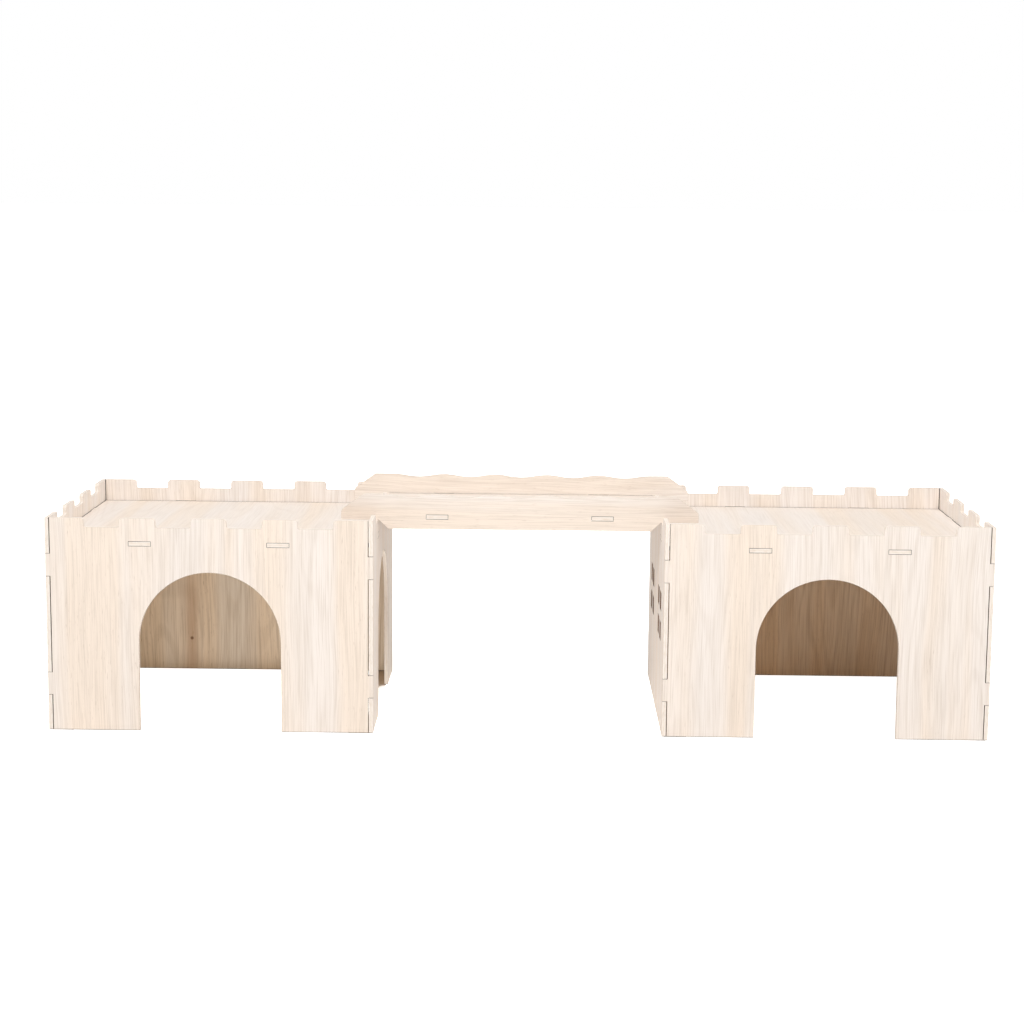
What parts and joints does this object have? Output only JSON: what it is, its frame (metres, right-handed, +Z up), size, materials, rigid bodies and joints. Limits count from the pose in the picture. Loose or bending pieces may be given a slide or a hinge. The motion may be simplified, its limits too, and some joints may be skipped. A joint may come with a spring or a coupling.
{
  "type": "hamster house",
  "caption": "Plywood castle for small pets: slotted flat-roofed houses with battlements, arched doorways and cross-barred windows, joined by a lift-off bridge with wavy rails.",
  "frame": {"origin": "on the ground, at the middle of the whole castle's length and depth", "axes": "+Z up, +X along the castle from the left house to the right house, -Y towards the front doorways"},
  "size_m": [0.664, 0.2, 0.1641],
  "materials": {
    "plywood": "matte bare plywood, laser-cut"
  },
  "bodies": {
    "left_house": {"left_front_wall": "plywood", "left_back_wall": "plywood", "left_window_wall": "plywood", "left_arch_wall": "plywood", "left_roof": "plywood"},
    "right_house": {"right_front_wall": "plywood", "right_back_wall": "plywood", "right_window_wall": "plywood", "right_arch_wall": "plywood", "right_roof": "plywood"},
    "bridge": {"bridge_front_rail": "plywood", "bridge_back_rail": "plywood", "bridge_deck": "plywood"}
  },
  "joints": [
    {"name": "bridge_lift", "type": "slide", "parent": "left_house", "child": "bridge", "axis": [0, 0, 1], "range_m": [0, 0.05]},
    {"name": "right_house_slide", "type": "slide", "parent": "left_house", "child": "right_house", "axis": [1, 0, 0], "range_m": [0, 0.02]}
  ]
}
